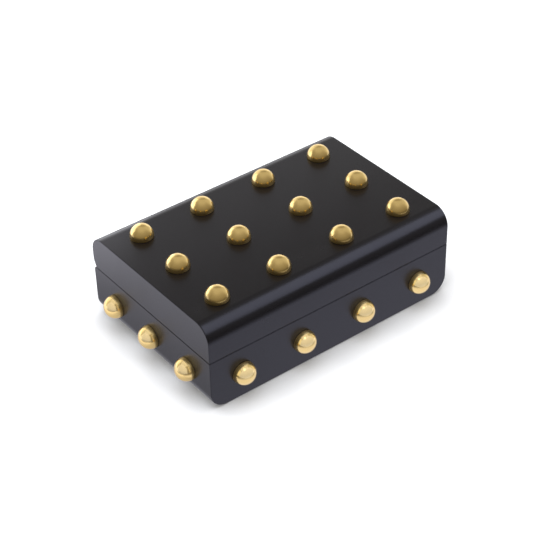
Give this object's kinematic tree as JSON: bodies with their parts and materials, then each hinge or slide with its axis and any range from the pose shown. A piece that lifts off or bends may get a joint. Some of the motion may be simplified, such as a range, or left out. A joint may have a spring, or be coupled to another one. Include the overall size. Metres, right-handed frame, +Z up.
{
  "type": "hinged trinket box",
  "caption": "Low rectangular lacquered trinket box with a hinged lift-up lid, domed brass studs on lid and sides, a lined tray and a felt underside.",
  "frame": {"origin": "centre of the underside, on the surface the box stands on", "axes": "+X along the length, to the right seen from the front; +Y towards the hinge side, at the back; +Z up"},
  "size_m": [0.166, 0.1144, 0.0571],
  "materials": {
    "black_lacquer": "satin black lacquer over wood",
    "polished_brass": "polished",
    "hinge_brass": "satin",
    "velvet": "short-pile velvet over card and foam",
    "felt": "pressed felt"
  },
  "bodies": {
    "base": {"base_shell": "black_lacquer", "base_felt_pad": "felt", "front_studs": "polished_brass", "back_studs": "polished_brass", "left_end_studs": "polished_brass", "right_end_studs": "polished_brass", "tray_floor_pad": "velvet", "tray_lining_front": "velvet", "tray_lining_back": "velvet", "tray_lining_left": "velvet", "tray_lining_right": "velvet", "hinge_left_base_leaf": "hinge_brass", "hinge_left_pin": "hinge_brass", "hinge_right_base_leaf": "hinge_brass", "hinge_right_pin": "hinge_brass", "hinge_base_screws": "hinge_brass"},
    "lid": {"lid_shell": "black_lacquer", "lid_studs_back_row": "polished_brass", "lid_studs_middle_row": "polished_brass", "lid_studs_front_row": "polished_brass", "lid_top_pad": "velvet", "lid_lining_front": "velvet", "lid_lining_back": "velvet", "lid_lining_left": "velvet", "lid_lining_right": "velvet", "hinge_left_lid_leaf": "hinge_brass", "hinge_right_lid_leaf": "hinge_brass", "hinge_lid_screws": "hinge_brass"}
  },
  "joints": [
    {"name": "lid_hinge", "type": "hinge", "parent": "base", "child": "lid", "pos_m": [0, 0.04835, 0.031], "axis": [-1, 0, 0], "range_deg": [0, 100]}
  ]
}
